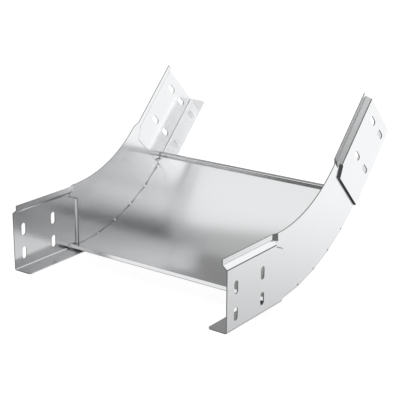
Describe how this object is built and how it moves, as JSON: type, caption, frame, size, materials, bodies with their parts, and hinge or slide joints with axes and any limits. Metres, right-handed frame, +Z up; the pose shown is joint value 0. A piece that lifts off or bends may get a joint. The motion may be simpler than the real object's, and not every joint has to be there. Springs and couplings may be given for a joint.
{
  "type": "cable tray bend",
  "caption": "Inside rising vertical bend for sheet-steel cable tray: two pressed side walls with joggled, slotted ends and a curved floor sheet.",
  "frame": {"origin": "centre of the bounding box's underside, on the floor under the middle tabs", "axes": "+X along the cable run over both ends, +Y across the tray, +Z up, with the bend resting on its middle tabs"},
  "size_m": [0.3768, 0.3028, 0.1314],
  "materials": {
    "galvanised_wall": "smooth strip-galvanised, satin",
    "galvanised_floor": "smooth strip-galvanised, satin"
  },
  "bodies": {
    "root": {"side_wall_left": "galvanised_wall", "side_wall_right": "galvanised_wall", "floor_sheet": "galvanised_floor"}
  },
  "joints": []
}
